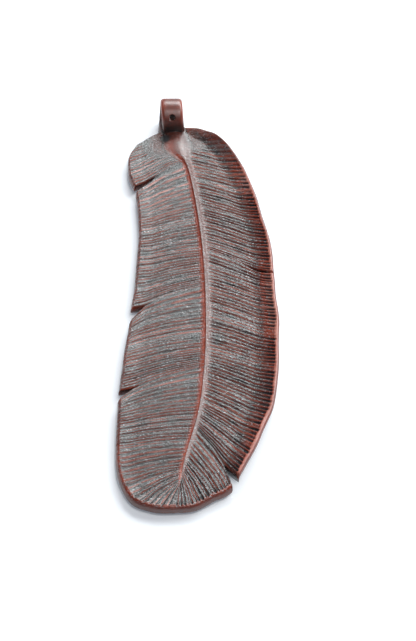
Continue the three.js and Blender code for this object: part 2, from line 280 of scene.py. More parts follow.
class Vane:
    """One half of the feather: its edge, its rim and how its barbs were cut."""

    def __init__(self, side, edge, lines, splits, **cut):
        self.side, self.edge, self.splits = side, edge, splits
        self.edge_line, self.root_line = lines
        for name, value in cut.items():
            setattr(self, name, value)

    def edge_point(self, place):
        """A point of the edge, which wavers a little as cut clay does."""
        free = smooth_step(place, 0, EDGE_CALM) * smooth_step(1 - place, 0, EDGE_CALM)
        waver = EDGE_WAVER * free * ripple(place * EDGE_WAVES, self.side * 4.5, 1.5)
        return self.edge.at(place) + self.edge.to_the_right(place) * waver

    def share_at(self, row, purpose):
        count = count_at(row)
        return clamp01((count + stray(self.side, count, purpose)) / BARBS)

    def chance(self, groove, purpose):
        return chance(groove, self.side * purpose)

    def groove_share(self, groove):
        """The depth of a groove, as its hand-cut share of the full depth."""
        faint = FAINT_DEPTH if self.chance(groove, FOR_FAINT) < FAINT_SHARE else 1
        return faint * mix(*self.depths, self.chance(groove, FOR_DEPTH))

    def root_place(self, row):
        share = self.share_at(row, FOR_ROOT)
        place = guided(self.root_line, share)
        edge_place = guided(self.edge_line, share)
        for split in self.splits:
            past = (edge_place - split.at) * self.edge.length
            reach = LEAN_REACH if past > 0 else LEAN_BEFORE * split.lean
            place -= settled(row) * split.lean / centre_line.length * math.exp(-abs(past) / reach)
        return place

    def tip_share(self, place):
        """0 along the vane, 1 on the lower part round the tip."""
        return smooth_step(place, self.tip_from - self.tip_fade, self.tip_from + self.tip_fade)

    def bevel_at(self, place):
        """Width and height of the bevel that turns the edge over."""
        return [mix(along, tip, self.tip_share(place)) for along, tip in zip(self.bevel, TIP_BEVEL)]

    def rim_at(self, place):
        """Height and width of the turned-up rim at a share of the edge."""
        to_along = clamp01(place / SHOULDER_END)
        to_tip = self.tip_share(place)
        sizes = zip(self.shoulder, self.along, self.tip)
        height, width = (mix(mix(start, side, to_along), end, to_tip) for start, side, end in sizes)
        return height * mix(SHOULDER_START, 1, smooth_step(place, 0, SHOULDER_RUN)), width


# Pairs of least and most: depths of the grooves, bareness of their lips, and the band by the edge that they
# leave free. The right vane's lips are set barer, so paler: partly painted highlight, standing in for the
# sheen that the left vane's lips get from the window. bow bends the barbs, comb scrapes them wider on the
# wall, dish lifts the floor and taper thins the rim from below. Then the height and width of the rim by the
# neck, along the side and round the tip, and the width and height of the bevel.
left_vane = Vane(
    -1, left_edge, (LEFT_EDGE, LEFT_ROOT),
    depths=(0.7, 1.15), lips_and_highlight=(0.35, 1.2), band=(-0.4, 1.5), bow=0.045, comb=0, dish=0, taper=0,
    shoulder=(2.6, 10), along=(2.3, 8), tip=(1.3, 6), tip_from=0.8, tip_fade=0.03, bevel=(2.0, 3.0),
    splits=[
        Split(0.148, 0.005, 0.014, 13.5, lean=12),
        Split(0.49, 0.005, 0.033, 9, lean=10),
        Split(0.691, 0.004, 0.018, 8, lean=10),
    ],
)
right_vane = Vane(
    1, right_edge, (RIGHT_EDGE, RIGHT_ROOT),
    # Lips barer than on the left vane: partly painted highlight on the lips.
    depths=(0.65, 1.1), lips_and_highlight=(0.5, 1.75), band=(1.6, 2.4), bow=0.02, comb=1, dish=0.7, taper=1.2,
    shoulder=(5.4, 15), along=(5, 11), tip=(1.3, 6), tip_from=0.889, tip_fade=0.004, bevel=(1.3, 1.6),
    splits=[
        Split(0.435, 0.004, 0.006, 14.2, lean=3, mouth=0.08),
        Split(0.889, 0.005, 0.010, 12, lean=2),
    ],
)
for vane in (left_vane, right_vane):
    print("rim in mm, height and width:", vane.along, "splits:", len(vane.splits))

# %% [markdown]
# ## A grid that follows the barbs
# One sheet of quads carries the whole face. Its rows run along the barbs and its columns run from the
# left edge over the shaft to the right edge. Near an edge the columns crowd together, because that is
# where the clay turns over. Working out the plan first, as a table of points, makes every later step
# a simple look-up.

# %% Columns of the sheet, and the plan point of every corner
EDGE_INSETS = (0, 0.12, 0.45, 0.95, 1.5, 2.0, 2.5)
WALL_COLUMNS = 4
OPEN_COLUMNS = 12
VANE_COLUMNS = len(EDGE_INSETS) + WALL_COLUMNS + OPEN_COLUMNS
SHAFT_ACROSS = (-1, -0.85, -0.65, -0.45, -0.1, 0.25, 0.55, 0.8, 1)
COLUMNS = 2 * VANE_COLUMNS + len(SHAFT_ACROSS) - 1
WIDEST_RIM = 0.6  # the share of a barb that the rim may take up
WOBBLE = 0.35

STRAP_WIDTH = 11.4
SHAFT_HALF_WIDTH = 1.7
SHAFT_HEIGHT = 1.1
SHAFT_BROW = -0.45  # where across the shaft its ridge lies
SHAFT_FALL = 1.3  # above 1, so that the ridge falls off slowly at first
SHAFT_TIP_SHARE = 0.4
SHAFT_FADE = 0.02
NECK_FROM, NECK_TO = 0.075, 0.14
NECK_HALF_WIDTH = 6.2
NECK_SKEW = 0.5  # how much wider the neck is on the left
NECK_HEIGHT = 1.5
NECK_RUN_OUT = 0.035


def neck_share(place):
    """1 on the neck by the quill, 0 on the shaft."""
    return 1 - smooth_step(place, NECK_FROM, NECK_TO)


def shaft_section(place):
    """Half width and height of the raised shaft, which widens at the quill into a neck."""
    along = clamp01(place / SHAFT_END)
    neck = neck_share(place)
    half_width = mix(SHAFT_HALF_WIDTH * mix(1, SHAFT_TIP_SHARE, along), NECK_HALF_WIDTH, neck)
    half_width *= 1 - smooth_step(place, SHAFT_END - SHAFT_FADE, FAN_ROOT)
    height = mix(SHAFT_HEIGHT * math.sqrt(1 - along), NECK_HEIGHT, neck)
    return half_width, height * smooth_step(place, NECK_RUN_OUT / 2, NECK_RUN_OUT)


def beside_shaft(place, offset):
    half_width, _ = shaft_section(place)
    if offset < 0:
        half_width *= 1 + NECK_SKEW * neck_share(place) * smooth_step(place, NECK_RUN_OUT, NECK_FROM)
    return centre_line.at(place) + centre_line.to_the_right(place) * (offset * half_width)


def vane_insets(length, rim_width):
    """How far from the edge each column of a vane lies, from the edge to the foot of the shaft."""
    squeeze = min(1.0, WIDEST_RIM * length / rim_width)
    wall = rim_width * squeeze
    edge = [inset * squeeze for inset in EDGE_INSETS]
    rim = [mix(edge[-1], wall, (i + 1) / WALL_COLUMNS) for i in range(WALL_COLUMNS)]
    floor = [mix(wall, length, (i + 1) / (OPEN_COLUMNS + 1)) for i in range(OPEN_COLUMNS)]
    return edge + rim + floor


def split_shift(vane, place, row, inset):
    """How far a barb is pushed along the edge by the splits beside it."""
    shift = 0.0
    for split in vane.splits:
        opened = split.opened(inset)
        lip = -split.upper if row <= split.row else split.lower
        shift += lip * opened * math.exp(-abs(place - split.at) / (2 * abs(lip)))
    return shift


class Barb:
    """One row of one vane: its plan points and their distances from the edge."""

    def __init__(self, vane, row):
        self.vane, self.row = vane, row
        self.count = count_at(row)
        self.place = guided(vane.edge_line, vane.share_at(row, FOR_END))
        self.root = beside_shaft(vane.root_place(row), vane.side)
        self.length = (vane.edge.at(self.place) - self.root).length
        self.rim = vane.rim_at(self.place)
        self.insets = vane_insets(self.length, self.rim[1])
        self.sway = SWAY * stray(vane.side, self.count, FOR_SWAY)

    def point(self, inset):
        share = 1 - inset / self.length
        end = self.vane.edge_point(self.place + split_shift(self.vane, self.place, self.row, inset))
        along = end - self.root
        towards_quill = Vector((-along.y, along.x)) * self.vane.side
        free = math.sin(math.pi * share)
        wobble = WOBBLE * ripple(share * 4, self.count * 0.5, self.vane.side * 7)
        bow = self.vane.bow * 4 * share * (1 - share)
        aside = bow + (self.sway * share + wobble) * free / self.length
        return self.root + along * share + towards_quill * (aside * settled(self.row))


for vane in (left_vane, right_vane):
    grooves = range(0, ROWS, len(BARB_PROFILE))
    for split in vane.splits:
        split.row = min(grooves, key=lambda row: abs(guided(vane.edge_line, row / ROWS) - split.at))

barbs = {vane.side: [Barb(vane, row) for row in range(ROWS + 1)] for vane in (left_vane, right_vane)}
for vane in (left_vane, right_vane):
    for split in vane.splits:
        lip = barbs[vane.side][split.row]
        split.at = (lip.place + barbs[vane.side][split.row + 1].place) / 2
        split.column = min(range(VANE_COLUMNS), key=lambda column: abs(lip.insets[column] - split.depth))
        split.depth = lip.insets[split.column]


def vane_of_column(column):
    """The vane a column belongs to and its number from that vane's edge, or None on the shaft."""
    if column < VANE_COLUMNS:
        return left_vane, column
    if column > COLUMNS - VANE_COLUMNS:
        return right_vane, COLUMNS - column
    return None, column - VANE_COLUMNS


def shaft_place(row, across):
    return mix(left_vane.root_place(row), right_vane.root_place(row), (across + 1) / 2)


def plan_point(row, column):
    vane, number = vane_of_column(column)
    if vane is None:
        across = SHAFT_ACROSS[number]
        return beside_shaft(shaft_place(row, across), across)
    barb = barbs[vane.side][row]
    return barb.point(barb.insets[number])


plan = [[plan_point(row, column) for column in range(COLUMNS + 1)] for row in range(ROWS + 1)]
print("plan:", ROWS + 1, "rows by", COLUMNS + 1, "columns")

# %% [markdown]
# ## Heights
# The face is built up from simple layers: the flat floor, the turned-up rim, the crown of the shaft,
# a slow unevenness left by the potter's palm, and last the grooves. The edge is turned over by
# lowering each corner along a bowed bevel: narrow and round on the right, wide and sloping on the left
# and all round the tip, so that both vanes meet there without a step.

# %% The height of every corner, above and below
SLAB = 5.0
RIM_POWER = 1.3
TOP_RIM_WIDTH = 9
TOP_RIM_SHARE = 0.5
BEVEL_BOW = 1.5
LIP_BEVEL = (0.6, 0.7)
ROUNDING_BELOW = 1.1
UNEVEN = 0.22
UNEVEN_PITCH = 34.0
FAR = 99.0


def bowed_bevel(distance, width, height):
    """How far an edge drops at a distance from it: a straight bevel that bows outwards a little."""
    if distance >= width:
        return 0.0
    return height * (1 - (1 - (1 - distance / width) ** BEVEL_BOW) ** (1 / BEVEL_BOW))


def edge_distances(row, column):
    """Distances in plan from a corner to the outline and to the nearest lip of a split."""
    vane, number = vane_of_column(column)
    if vane is None:
        return FAR, FAR
    here = plan[row][column]
    to_outline = min(barbs[vane.side][row].insets[number], (here - plan[0][column]).length)
    to_lip = FAR
    for split in vane.splits:
        lip_row = split.row if row <= split.row else split.row + 1
        near = abs(row - lip_row) <= 2 * len(BARB_PROFILE)
        if near and number <= split.column:
            to_lip = min(to_lip, (here - plan[lip_row][column]).length)
    return to_outline, to_lip


def side_rise(row, column):
    """Share of the side rim's height at a corner."""
    vane, number = vane_of_column(column)
    if vane is None:
        return 0.0
    barb = barbs[vane.side][row]
    return clamp01(1 - barb.insets[number] / barb.rim[1]) ** RIM_POWER


def rim_lift(row, column):
    """How far the rim lifts the face and its floor dishes up, and how far it lifts the underside."""
    vane, number = vane_of_column(column)
    if vane is None:
        return 0.0, 0.0
    barb = barbs[vane.side][row]
    share = 1 - barb.insets[number] / barb.length
    from_top = barb.place * vane.edge.length
    top_rise = TOP_RIM_SHARE * share * clamp01(1 - from_top / TOP_RIM_WIDTH) ** RIM_POWER
    side = side_rise(row, column)
    rise = barb.rim[0] * max(side, top_rise)
    before_tip = 1 - vane.tip_share(barb.place)
    return rise + vane.dish * before_tip * share * (1 - side), rise + vane.taper * before_tip * side


def shaft_crown(row, column):
    vane, number = vane_of_column(column)
    if vane is not None:
        return 0.0
    across = SHAFT_ACROSS[number]
    place = shaft_place(row, across)
    _, height = shaft_section(place)
    rise = smooth_step(across, -1, SHAFT_BROW)
    fall = 1 - clamp01((across - SHAFT_BROW) / (1 - SHAFT_BROW)) ** SHAFT_FALL
    dome = math.cos(across * math.pi / 2) ** 2
    return height * mix(min(rise, fall), dome, neck_share(place))


# %% [markdown]
# ## Where a groove runs
# A groove is cut to its full depth only on the open vane. Most run out before they meet the edge, and
# all do on the smooth clay beside the neck and where the last barbs crowd together round the tip. On
# the right wall they are scraped wider. The pairs below are the shares between which that comes in.

# %% The grooves' depth, their darkness and their bare lips
BESIDE_NECK = 0.13  # share of the edge along which the clay beside the neck is smooth
NECK_COVER = 0.75  # how far out along a barb the smooth clay reaches at most
NECK_BLEND = (0.1, 0.2)  # how far before and beyond that the grooves come in
STOP_FADE = 0.3
NO_STOP = 0.05  # a band narrower than this lets the groove run over the edge
TIP_BAND = 1.6
TIP_BAND_RUN = 0.05
GROOVE_START = 0.05
SHOULDER_CALM = 0.6  # how much shallower the combed grooves start at the shoulder
SHOULDER_CUT = (0.04, 0.2)
SCRAPED_RISE = (0.1, 0.6)
SCRAPED_PLACE = (0.06, 0.25)
SCRAPED_DEEPER = 0.4
SCRAPED_COVER = 0.6  # how much of a bare lip the scraping covers again
FULL_PITCH = 1.3
DARKEN = 1.7


def groove_reach(vane, row, column, share, nearest):
    """How near a groove is to its full depth at a corner."""
    barb = barbs[vane.side][row]
    inset = barb.insets[vane_of_column(column)[1]]
    stop = mix(*vane.band, vane.chance(nearest, FOR_STOP))
    stop = mix(stop, TIP_BAND, smooth_step(barb.place, vane.tip_from, vane.tip_from + TIP_BAND_RUN))
    reach = smooth_step(inset, stop - STOP_FADE, stop + STOP_FADE) if stop > NO_STOP else 1.0
    by_neck = clamp01(1 - barb.place / BESIDE_NECK)
    if by_neck > 0:
        cover = NECK_COVER * by_neck
        reach *= smooth_step(share, cover - NECK_BLEND[0], cover + NECK_BLEND[1])
    shoulder = mix(1 - SHOULDER_CALM * vane.comb, 1, smooth_step(barb.place, *SHOULDER_CUT))
    reach *= shoulder * smooth_step(barb.place, 0.0, GROOVE_START)
    before, after = plan[max(row - 1, 0)][column], plan[min(row + 1, ROWS)][column]
    pitch = len(BARB_PROFILE) * (after - before).length / 2
    reach *= clamp01(pitch / FULL_PITCH) * clamp01(BARBS - barb.count)
    streak = ripple(share * 3.5, nearest * 1.7, vane.side * 9.0)
    return reach * clamp01(0.9 + 0.8 * streak)


def groove_at(row, column):
    """Depth of the cut, its darkness and the bareness of its lip at a corner, all from 0 to about 1."""
    vane, number = vane_of_column(column)
    if vane is None:
        return 0.0, 0.0, 0.0
    barb = barbs[vane.side][row]
    share = 1 - barb.insets[number] / barb.length
    groove, step = divmod(row, len(BARB_PROFILE))
    phase, on_floor, on_wall, lip = BARB_PROFILE[step]
    scraped = vane.comb * smooth_step(side_rise(row, column), *SCRAPED_RISE)
    scraped *= smooth_step(barb.place, *SCRAPED_PLACE)
    cut, dark = (mix(*pair, scraped) for pair in zip(on_floor, on_wall))
    nearest = groove if phase < 0.5 else groove + 1
    reach = groove_reach(vane, row, column, share, nearest)
    # Bare lips turn red; on the right vane they are set barer, partly as painted highlight.
    bareness_and_highlight = mix(*vane.lips_and_highlight, vane.chance(nearest, FOR_LIP)) * (1 - SCRAPED_COVER * scraped)
    bareness_and_highlight *= clamp01(0.8 + 1.2 * ripple(share * 5, nearest * 2.3, 5.0))
    deeper = vane.groove_share(nearest) * (1 + SCRAPED_DEEPER * scraped)
    return cut * reach * deeper, clamp01(dark * reach * DARKEN * deeper), lip * reach * bareness_and_highlight


deepest = max(GROOVE_DEPTH * groove_at(row, VANE_COLUMNS // 2)[0] for row in range(ROWS))
print("deepest groove down the middle of the left vane, in mm:", round(deepest, 2))

# %% [markdown]
# ## The clay slab
# `bmesh.ops.create_grid` makes the sheet, and every corner then moves to its plan point. Behind the end of
# the shaft the two vanes meet, and merging the doubles there closes the seam. The faces inside the splits
# are deleted, the sheet is extruded down to the table with its top kept, and the closed slab gets its
# rounded edges and grooves. Four values ride along on the corners for the glaze: how black it lies (this
# also holds painted shade), how thin it runs, where the bare foot is, and how smooth the clay beneath was
# left.

# %% Make the slab
SEAM = 0.004

slab = bmesh.new()
bmesh.ops.create_grid(slab, x_segments=COLUMNS, y_segments=ROWS, size=0.5)
for name in ("row", "column"):
    slab.verts.layers.int.new(name)
GLAZE_VALUES = ("groove", "thin", "foot", "smooth")
for name in GLAZE_VALUES:
    slab.verts.layers.float.new(name)
row_layer, column_layer = (slab.verts.layers.int[name] for name in ("row", "column"))
black_glaze_and_shade_layer, thin_layer, foot_layer, smooth_layer = (slab.verts.layers.float[name] for name in GLAZE_VALUES)
for corner in slab.verts:
    row = round((0.5 - corner.co.y) * ROWS)
    column = round((corner.co.x + 0.5) * COLUMNS)
    corner[row_layer], corner[column_layer] = row, column
    corner.co = (*plan[row][column], 0)
bmesh.ops.remove_doubles(slab, verts=slab.verts[:], dist=SEAM)


def inside_a_split(face):
    row = min(corner[row_layer] for corner in face.verts)
    columns = [corner[column_layer] for corner in face.verts]
    from_edges = max(columns), COLUMNS - min(columns)
    for vane, from_edge in zip((left_vane, right_vane), from_edges):
        for split in vane.splits:
            if row == split.row and from_edge <= split.column:
                return True
    return False


bmesh.ops.delete(slab, geom=[face for face in slab.faces if inside_a_split(face)], context="FACES")
top_corners = list(slab.verts)
made = bmesh.ops.extrude_face_region(slab, geom=slab.faces[:], use_keep_orig=True)
under_corners = [item for item in made["geom"] if isinstance(item, bmesh.types.BMVert)]
print("slab:", len(slab.faces), "faces")

# %% [markdown]
# ## How the glaze lies
# Glaze runs off whatever is steep or sharp and gathers wherever it can rest. So it is thin on the right
# wall, on the worn rim above it, on the edges and on the lips of the grooves, and it pools along the lowest
# edge of the tip. The hollow by the loop's foot is blackened too: painted shade, partly pooled glaze. Each
# thin place gives a corner a value and the thinnest one wins; a pool, and the painted shade in the hollow,
# then blacken and smooth what lies under them. A triple below is a factor and the two places between which
# it becomes 1.

# %% How thin and how smooth the glaze is on the shaft
LAND_THIN = 0.02
SHAFT_THIN = 0.15
SHAFT_SMOOTH = 0.1
FLANK_THIN = 0.5
FLANK_FROM = -0.65
CROWN_THIN = 0.12
NECK_SMOOTH = 0.8
NECK_FLANK_THIN = 0.2
NECK_FLANK_IN = (0.25, 0.6)
NECK_FLANK_OUT = (0.75, 1)


def shaft_glaze(row, across):
    """Thinness and smoothness on the shaft: red on its left flank, pale and soft on the neck."""
    place = shaft_place(row, across)
    neck = neck_share(place)
    shaft_thin = mix(FLANK_THIN, SHAFT_THIN, smooth_step(across, FLANK_FROM, SHAFT_BROW))
    flank = smooth_step(-across, *NECK_FLANK_IN) * (1 - smooth_step(-across, *NECK_FLANK_OUT))
    flank *= smooth_step(place, NECK_RUN_OUT, NECK_FROM)
    crown = math.cos(across * math.pi / 2)
    neck_thin = LAND_THIN + CROWN_THIN * crown + NECK_FLANK_THIN * flank
    neck_smooth = NECK_SMOOTH * math.sqrt(max(crown, 0))
    return mix(shaft_thin, neck_thin, neck), mix(SHAFT_SMOOTH, neck_smooth, neck)


print("thinness on the crown of the shaft, halfway down:", round(shaft_glaze(ROWS // 2, 0)[0], 2))

# %% How thin and how smooth it is on the vanes
BY_NECK_THIN = 0.15
BY_NECK_RUN = (0.05, 0.5)
EDGE_THIN = 0.18
TIP_EDGE_THIN = 0.4
EDGE_FADE = 0.6
LIP_THIN = 0.5
LIP_REACH = 0.8
WALL_THIN = 0.55
WALL_PATCHES = 0.9
WALL_RISE = (0.05, 0.5)
WALL_FROM_SHOULDER = (0.35, 0.05, 0.22)
WALL_BY_TIP = 0.5
WALL_TIP_RUN = (0.6, 0.85)
WALL_ROUGH = 0.5
WALL_ROUGH_RISE = 0.25
ROUGH_FROM_SHOULDER = (-0.6, 0.1, 0.25)
RIM_THIN = 0.85
RIM_BAND = 2.7
RIM_KNOBS = 0.6
RIM_OUTSIDE = (0.3, 0.7, 1.5)
RIM_FROM_SHOULDER = (0.35, 0.05, 0.45)


def grown(place, factor, low, high):
    """A factor that becomes 1 between two places."""
    return mix(factor, 1, smooth_step(place, low, high))


def edge_glaze(vane, place, to_outline, to_lip):
    """Thinness on the bevel of the edge and on the lips of the splits."""
    edge_thin = mix(EDGE_THIN, TIP_EDGE_THIN, vane.tip_share(place))
    edge = edge_thin * clamp01(vane.bevel_at(place)[0] + EDGE_FADE - to_outline)
    return max(edge, LIP_THIN * clamp01(LIP_REACH - to_lip))


def wall_glaze(vane, row, column, to_outline):
    """Thinness and smoothness on the right wall, and on the worn and knobbly band of its rim."""
    place = barbs[vane.side][row].place
    before_tip = 1 - vane.tip_share(place)
    rise = side_rise(row, column) * before_tip
    patchy = 1 + WALL_PATCHES * ripple(place * 11, 0.5, 0.5)
    wall = WALL_THIN * patchy * smooth_step(rise, *WALL_RISE) * grown(place, *WALL_FROM_SHOULDER)
    wall *= mix(1, WALL_BY_TIP, smooth_step(place, *WALL_TIP_RUN))
    outside = grown(to_outline, *RIM_OUTSIDE)
    band = clamp01(RIM_BAND + RIM_KNOBS * ripple(place * 60, 2.5, 0.5) - to_outline) * before_tip
    rim = RIM_THIN * band * outside
    rim *= grown(place, *RIM_FROM_SHOULDER)
    rough = WALL_ROUGH * smooth_step(rise, 0, WALL_ROUGH_RISE) * grown(place, *ROUGH_FROM_SHOULDER)
    return max(wall * outside, rim), band - rough * (1 - band)


def vane_glaze(vane, row, column, to_outline, to_lip, lip):
    """Thinness and smoothness on a vane, where the glaze also breaks on the lip of each groove."""
    barb = barbs[vane.side][row]
    share = 1 - barb.insets[vane_of_column(column)[1]] / barb.length
    by_neck = clamp01(1 - barb.place / BESIDE_NECK) * (1 - smooth_step(share, *BY_NECK_RUN))
    edge = edge_glaze(vane, barb.place, to_outline, to_lip)
    thin = max(LAND_THIN + BY_NECK_THIN * by_neck, edge, lip)
    if vane is left_vane:
        return thin, 0
    wall_thin, wall_smooth = wall_glaze(vane, row, column, to_outline)
    return max(thin, wall_thin), wall_smooth


print("thinness of the rim's worn band at most:", RIM_THIN, "of the open vane:", LAND_THIN)

# %% Where the glaze pooled, and the painted shade by the loop's foot
SHADED_HOLLOW = Vector((-18.0, 106.5))
SHADED_HOLLOW_REACH = 4.0
EDGE_POOL = 0.7
EDGE_POOL_REACH = 1.8


def pooled_glaze_and_shade(vane, row, column, to_outline):
    """How black it lies: painted shade, partly pooled glaze, in the hollow by the loop's foot, and pooled
    glaze along the tip's lowest edge.
    """
    shaded_hollow = smooth_step(SHADED_HOLLOW_REACH - (plan[row][column] - SHADED_HOLLOW).length, 0, SHADED_HOLLOW_REACH / 2)
    if vane is None:
        return shaded_hollow
    by_the_tip = vane.tip_share(barbs[vane.side][row].place)
    return max(shaded_hollow, EDGE_POOL * by_the_tip * (1 - smooth_step(to_outline, 0, EDGE_POOL_REACH)))


print("pool by the loop in mm:", list(SHADED_HOLLOW), "reach", SHADED_HOLLOW_REACH)

# %% Give the face its heights and its glaze values
for corner in top_corners:
    row, column = corner[row_layer], corner[column_layer]
    x, y = plan[row][column]
    vane, number = vane_of_column(column)
    cut, dark, lip = groove_at(row, column)
    to_outline, to_lip = edge_distances(row, column)
    uneven = UNEVEN * ripple(x / UNEVEN_PITCH, y / UNEVEN_PITCH, 3.0)
    height = SLAB + rim_lift(row, column)[0] + uneven + shaft_crown(row, column)
    turned_over = bowed_bevel(to_lip, *LIP_BEVEL)
    if vane is None:
        thin, smooth = shaft_glaze(row, SHAFT_ACROSS[number])
    else:
        bevel = vane.bevel_at(barbs[vane.side][row].place)
        turned_over = max(bowed_bevel(to_outline, *bevel), turned_over)
        thin, smooth = vane_glaze(vane, row, column, to_outline, to_lip, lip)
    corner.co.z = height - GROOVE_DEPTH * cut - turned_over
    # Painted shade, partly pooled glaze: the hollow by the loop's foot is blackened and smoothed here.
    pool_and_shade = pooled_glaze_and_shade(vane, row, column, to_outline)
    corner[thin_layer], corner[smooth_layer] = thin, max(smooth, pool_and_shade)
    corner[black_glaze_and_shade_layer] = max(dark, pool_and_shade)
    # Painted shade: the walls of the narrow right splits are set fully black, as they lie in deep shadow.
    if vane is right_vane and to_lip == 0 and to_outline > RIM_BAND:
        corner[black_glaze_and_shade_layer] = 1
print("face: highest corner in mm", round(max(corner.co.z for corner in top_corners), 2))

# %% Give the underside its heights and its bare foot
UNDER_THIN = 0.1
FOOT_INSET = 5.0
FOOT_FADE = 1.5
for corner in under_corners:
    row, column = corner[row_layer], corner[column_layer]
    to_outline, to_lip = edge_distances(row, column)
    distance = min(to_outline, to_lip)
    corner.co.z = rim_lift(row, column)[1] + bowed_bevel(distance, ROUNDING_BELOW, ROUNDING_BELOW)
    # Painted shade: underside corners at the lips of the right splits are set fully black, so the split
    # walls are black.
    corner[black_glaze_and_shade_layer] = 1 if vane_of_column(column)[0] is right_vane and to_lip == 0 else 0
    corner[thin_layer] = UNDER_THIN
    corner[foot_layer] = clamp01((distance - FOOT_INSET) / FOOT_FADE)

# Everything so far is in millimetres; Blender's frame is in metres.
bmesh.ops.remove_doubles(slab, verts=slab.verts[:], dist=SEAM)
bmesh.ops.scale(slab, vec=(MM, MM, MM), verts=slab.verts[:])
bmesh.ops.recalc_face_normals(slab, faces=slab.faces[:])


def finished_object(mesh_builder, name):
    mesh = bpy.data.meshes.new(name)
    mesh_builder.to_mesh(mesh)
    mesh_builder.free()
    mesh.shade_smooth()
    made_object = bpy.data.objects.new(name, mesh)
    bpy.context.scene.collection.objects.link(made_object)
    return made_object


feather = finished_object(slab, "glazed_feather")
print("slab in mm:", [round(side / MM, 1) for side in feather.dimensions])

# %% [markdown]
# ## The rolled loop
# The quill is a strap of clay that was rolled up, over and back on to the neck. A rounded section is
# made flat, extruded out of the slab, and then swept with `bmesh.ops.spin` about the roll's axis.
# `dvec` lets the roll drift sideways a little with every step, as a hand-rolled strap does. The section
# that the sweep starts from would stay behind as a wall inside the clay, so it is deleted.

# %% Roll the strap
STRAP_THICKNESS = 4.2
STRAP_ROUNDING = 1.8
STRAP_ROOT_Y = 107.0
STRAP_ROOT_LIFT = 0.5
LOOP_RADIUS = 9.4
LOOP_CENTRE_Y = 119.9
LOOP_TURN = 335
LOOP_STEPS = 72
LOOP_START_X = -16.2
LOOP_DRIFT = 3.0

strap = bmesh.new()
bmesh.ops.create_grid(strap, x_segments=4, y_segments=1, size=0.5)
bmesh.ops.scale(strap, vec=(STRAP_WIDTH, STRAP_THICKNESS, 1), verts=strap.verts[:])
ends = [v for v in strap.verts if abs(v.co.x) > 0.49 * STRAP_WIDTH]
bmesh.ops.bevel(
    strap, geom=ends, offset=STRAP_ROUNDING, segments=5, profile=0.5, affect="VERTICES", material=-1,
)
upright = Matrix.Rotation(math.radians(90), 3, "X")
bmesh.ops.rotate(strap, cent=(0, 0, 0), matrix=upright, verts=strap.verts[:])
root = Vector((LOOP_START_X, STRAP_ROOT_Y, STRAP_ROOT_LIFT + STRAP_THICKNESS / 2))
bmesh.ops.translate(strap, vec=root, verts=strap.verts[:])
made = bmesh.ops.extrude_face_region(strap, geom=strap.faces[:])
section = [item for item in made["geom"] if isinstance(item, bmesh.types.BMFace)]
moved = [item for item in made["geom"] if isinstance(item, bmesh.types.BMVert)]
bmesh.ops.translate(strap, vec=(0, LOOP_CENTRE_Y - STRAP_ROOT_Y, -STRAP_ROOT_LIFT), verts=moved)
bmesh.ops.spin(
    strap, geom=section, cent=(LOOP_START_X, LOOP_CENTRE_Y, LOOP_RADIUS), axis=(1, 0, 0),
    dvec=(LOOP_DRIFT / LOOP_STEPS, 0, 0), angle=math.radians(LOOP_TURN), steps=LOOP_STEPS,
)
bmesh.ops.delete(strap, geom=section, context="FACES")
bmesh.ops.holes_fill(strap, edges=[edge for edge in strap.edges if edge.is_boundary], sides=0)
bmesh.ops.scale(strap, vec=(MM, MM, MM), verts=strap.verts[:])
bmesh.ops.recalc_face_normals(strap, faces=strap.faces[:])
unclosed = sum(not edge.is_manifold for edge in strap.edges)
print("strap:", len(strap.faces), "faces, unclosed edges:", unclosed)
loop = finished_object(strap, "loop")

# %% [markdown]
# ## The stick hole and the join
# The hole for the stick was pierced while the clay was soft, so its lips are flared and not crisp. A
# spindle that widens at both ends is a good cutter for that: it is a short profile spun about the
# hole's axis. A Boolean modifier takes it out of the loop, and a second one fuses the loop to the slab,
# so that the holder is one closed skin. The rolled strap overlaps itself where its end comes down, so
# the first Boolean is told to expect that.

# %% Pierce the loop
HOLE_RADIUS = 1.5
HOLE_FLARE = 0.6
HOLE_ANGLE = 146  # degrees round the loop: high on its front
HOLE_SIDES = 32
LIP_DEPTH = 0.8
LIP_MIDDLE = 0.35  # depth of the lip's middle point, and its share of the flare
SPINDLE_END = 2


def loop_point(radius, degrees):
    drift = LOOP_DRIFT * (degrees + 90) / LOOP_TURN
    angle = math.radians(degrees)
    y, z = LOOP_CENTRE_Y + radius * math.cos(angle), LOOP_RADIUS + radius * math.sin(angle)
    return Vector((LOOP_START_X + drift, y, z))


spindle = bmesh.new()
half = STRAP_THICKNESS / 2
profile = [
    (0, -half - SPINDLE_END),
    (HOLE_RADIUS + 2 * HOLE_FLARE, -half - SPINDLE_END),
    (HOLE_RADIUS + HOLE_FLARE, -half),
    (HOLE_RADIUS + LIP_MIDDLE * HOLE_FLARE, LIP_MIDDLE - half),
    (HOLE_RADIUS, LIP_DEPTH - half),
]
profile += [(radius, -along) for radius, along in reversed(profile)]
knots = [spindle.verts.new((radius, 0, along)) for radius, along in profile]
profile_edges = [spindle.edges.new(pair) for pair in zip(knots, knots[1:])]
bmesh.ops.spin(
    spindle, geom=knots + profile_edges, cent=(0, 0, 0), axis=(0, 0, 1),
    angle=math.tau, steps=HOLE_SIDES, use_merge=True,
)
bmesh.ops.remove_doubles(spindle, verts=spindle.verts[:], dist=1e-4)
turn = Matrix.Rotation(math.radians(HOLE_ANGLE - 90), 3, "X")
bmesh.ops.rotate(spindle, cent=(0, 0, 0), matrix=turn, verts=spindle.verts[:])
bmesh.ops.translate(spindle, vec=loop_point(LOOP_RADIUS - half, HOLE_ANGLE), verts=spindle.verts[:])
bmesh.ops.scale(spindle, vec=(MM, MM, MM), verts=spindle.verts[:])
bmesh.ops.recalc_face_normals(spindle, faces=spindle.faces[:])
cutter = finished_object(spindle, "spindle")


